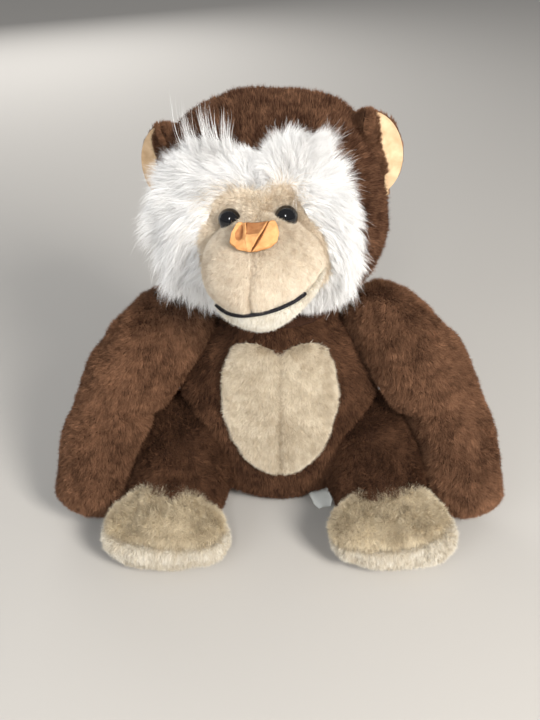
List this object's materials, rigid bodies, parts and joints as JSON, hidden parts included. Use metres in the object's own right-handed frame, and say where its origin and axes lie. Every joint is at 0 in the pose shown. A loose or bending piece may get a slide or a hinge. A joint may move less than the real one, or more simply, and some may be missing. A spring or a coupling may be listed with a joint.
{
  "type": "stuffed monkey",
  "caption": "Sitting plush monkey with long soft arms, short legs, a long-pile ruff round a pale face, suede nose, domed eyes and a two-part belly patch.",
  "frame": {"origin": "on the flat seat base, straight below the neck and midway between the sides", "axes": "-Z out of the flat seat base, -Y the way the torso faces, +X the monkey's own left side"},
  "size_m": [0.2873, 0.1562, 0.2655],
  "materials": {
    "brown_plush": "short brushed pile",
    "cream_plush": "short brushed pile",
    "pale_plush": "short brushed pile",
    "white_long_pile": "long loose pile",
    "tan_suede": "matte",
    "tan_felt": "felt",
    "eye_plastic": "gloss",
    "washer_plastic": "moulded",
    "black_cord": "twisted",
    "white_satin": "satin",
    "fibre_fill": "loose fibre"
  },
  "bodies": {
    "torso": {"torso_cover": "brown_plush", "tummy_patch_left": "cream_plush", "tummy_patch_right": "cream_plush", "seat_base": "brown_plush", "torso_stuffing": "fibre_fill"},
    "neck": {"neck_gather": "brown_plush"},
    "head": {"head_crown": "brown_plush", "fur_ruff": "white_long_pile", "face_panel": "cream_plush", "muzzle_left": "cream_plush", "muzzle_right": "cream_plush", "lower_lip": "pale_plush", "mouth_cord": "black_cord", "nose_patch": "tan_suede", "nostril_fold_left": "tan_suede", "nostril_fold_right": "tan_suede", "eye_left": "eye_plastic", "eye_right": "eye_plastic", "eye_washer_left": "washer_plastic", "eye_washer_right": "washer_plastic", "head_stuffing": "fibre_fill", "muzzle_stuffing": "fibre_fill"},
    "ear_left": {"ear_back_left": "brown_plush", "ear_lining_left": "tan_felt"},
    "shoulder_left": {"shoulder_gather_left": "brown_plush"},
    "upper_arm_left": {"upper_arm_cover_left": "brown_plush", "upper_arm_stuffing_left": "fibre_fill"},
    "forearm_left": {"forearm_cover_left": "brown_plush", "forearm_stuffing_left": "fibre_fill"},
    "leg_left": {"leg_cover_left": "brown_plush", "leg_stuffing_left": "fibre_fill"},
    "foot_left": {"foot_top_left": "cream_plush", "foot_sole_left": "pale_plush", "foot_stuffing_left": "fibre_fill"},
    "ear_right": {"ear_back_right": "brown_plush", "ear_lining_right": "tan_felt"},
    "shoulder_right": {"shoulder_gather_right": "brown_plush"},
    "upper_arm_right": {"upper_arm_cover_right": "brown_plush", "upper_arm_stuffing_right": "fibre_fill"},
    "forearm_right": {"forearm_cover_right": "brown_plush", "forearm_stuffing_right": "fibre_fill"},
    "leg_right": {"leg_cover_right": "brown_plush", "leg_stuffing_right": "fibre_fill"},
    "foot_right": {"foot_top_right": "cream_plush", "foot_sole_right": "pale_plush", "foot_stuffing_right": "fibre_fill"},
    "label": {"care_label": "white_satin"}
  },
  "joints": [
    {"name": "neck_turn", "type": "hinge", "parent": "torso", "child": "neck", "pos_m": [0, 0.003, 0.124], "axis": [0, 0, 1], "range_deg": [-20, 35]},
    {"name": "neck_nod", "type": "hinge", "parent": "neck", "child": "head", "pos_m": [0, 0.003, 0.124], "axis": [1, 0, 0], "range_deg": [-10, 14]},
    {"name": "shoulder_swing_left", "type": "hinge", "parent": "torso", "child": "shoulder_left", "pos_m": [0.062, 0.006, 0.128], "axis": [-1, 0, 0], "range_deg": [-15, 100]},
    {"name": "shoulder_spread_left", "type": "hinge", "parent": "shoulder_left", "child": "upper_arm_left", "pos_m": [0.062, 0.006, 0.128], "axis": [0, -1, 0], "range_deg": [0, 55]},
    {"name": "elbow_left", "type": "hinge", "parent": "upper_arm_left", "child": "forearm_left", "pos_m": [0.104, -0.009, 0.076], "axis": [-1, 0, 0], "range_deg": [-25, 40]},
    {"name": "hip_left", "type": "hinge", "parent": "torso", "child": "leg_left", "pos_m": [0.06, -0.002, 0.04], "axis": [-1, 0, 0], "range_deg": [0, 25]},
    {"name": "ankle_left", "type": "hinge", "parent": "leg_left", "child": "foot_left", "pos_m": [0.066, -0.056, 0.025], "axis": [-1, 0, 0], "range_deg": [-10, 10]},
    {"name": "ear_left", "type": "hinge", "parent": "head", "child": "ear_left", "pos_m": [0.04775, 0.01, 0.23348], "axis": [-0.3185, 0.0452, 0.9469], "range_deg": [-10, 12]},
    {"name": "shoulder_swing_right", "type": "hinge", "parent": "torso", "child": "shoulder_right", "pos_m": [-0.062, 0.006, 0.128], "axis": [-1, 0, 0], "range_deg": [-15, 100]},
    {"name": "shoulder_spread_right", "type": "hinge", "parent": "shoulder_right", "child": "upper_arm_right", "pos_m": [-0.062, 0.006, 0.128], "axis": [0, 1, 0], "range_deg": [0, 55]},
    {"name": "elbow_right", "type": "hinge", "parent": "upper_arm_right", "child": "forearm_right", "pos_m": [-0.1025, -0.008, 0.077], "axis": [-1, 0, 0], "range_deg": [-25, 40]},
    {"name": "hip_right", "type": "hinge", "parent": "torso", "child": "leg_right", "pos_m": [-0.06, -0.002, 0.04], "axis": [-1, 0, 0], "range_deg": [0, 25]},
    {"name": "ankle_right", "type": "hinge", "parent": "leg_right", "child": "foot_right", "pos_m": [-0.066, -0.056, 0.025], "axis": [-1, 0, 0], "range_deg": [-10, 10]},
    {"name": "ear_right", "type": "hinge", "parent": "head", "child": "ear_right", "pos_m": [-0.05993, 0.0225, 0.22206], "axis": [-0.1174, 0.0054, -0.9931], "range_deg": [-10, 12]},
    {"name": "label_flap", "type": "hinge", "parent": "torso", "child": "label", "pos_m": [0.0256, -0.0204, 0.0074], "axis": [0.9272, 0.3746, 0], "range_deg": [-10, 30]}
  ]
}
